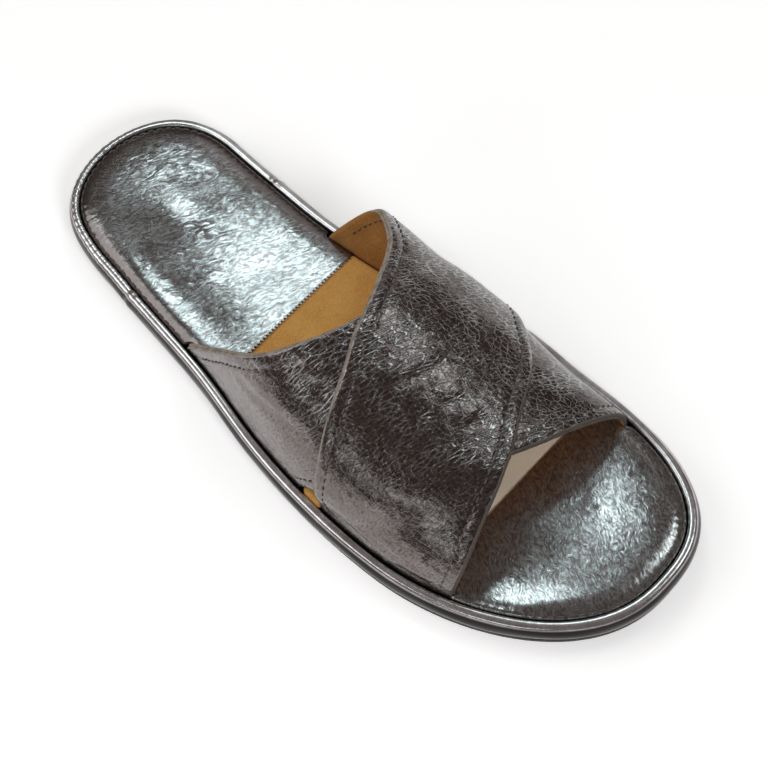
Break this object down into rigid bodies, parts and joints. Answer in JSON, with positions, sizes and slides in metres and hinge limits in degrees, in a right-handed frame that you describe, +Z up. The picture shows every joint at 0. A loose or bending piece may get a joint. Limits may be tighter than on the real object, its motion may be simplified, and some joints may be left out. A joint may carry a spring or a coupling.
{
  "type": "slide sandal",
  "caption": "Slip-on slide sandal for the right foot: crossed metallic leather straps over a padded sock and a wrapped platform sole, open at toe and heel.",
  "frame": {"origin": "on the floor, under the middle of the sole's box", "axes": "+Y towards the toe, +X towards the outer side of the foot, +Z up"},
  "size_m": [0.0993, 0.262, 0.0592],
  "materials": {
    "rubber": "matt dark sole rubber",
    "wrap": "smooth glossy pewter leather",
    "foil": "crinkled pewter foil leather",
    "suede": "tan suede"
  },
  "bodies": {
    "root": {"outsole": "rubber", "platform": "wrap", "sock_heel": "foil", "sock_middle": "suede", "sock_toe": "foil", "upper": "foil"}
  },
  "joints": []
}
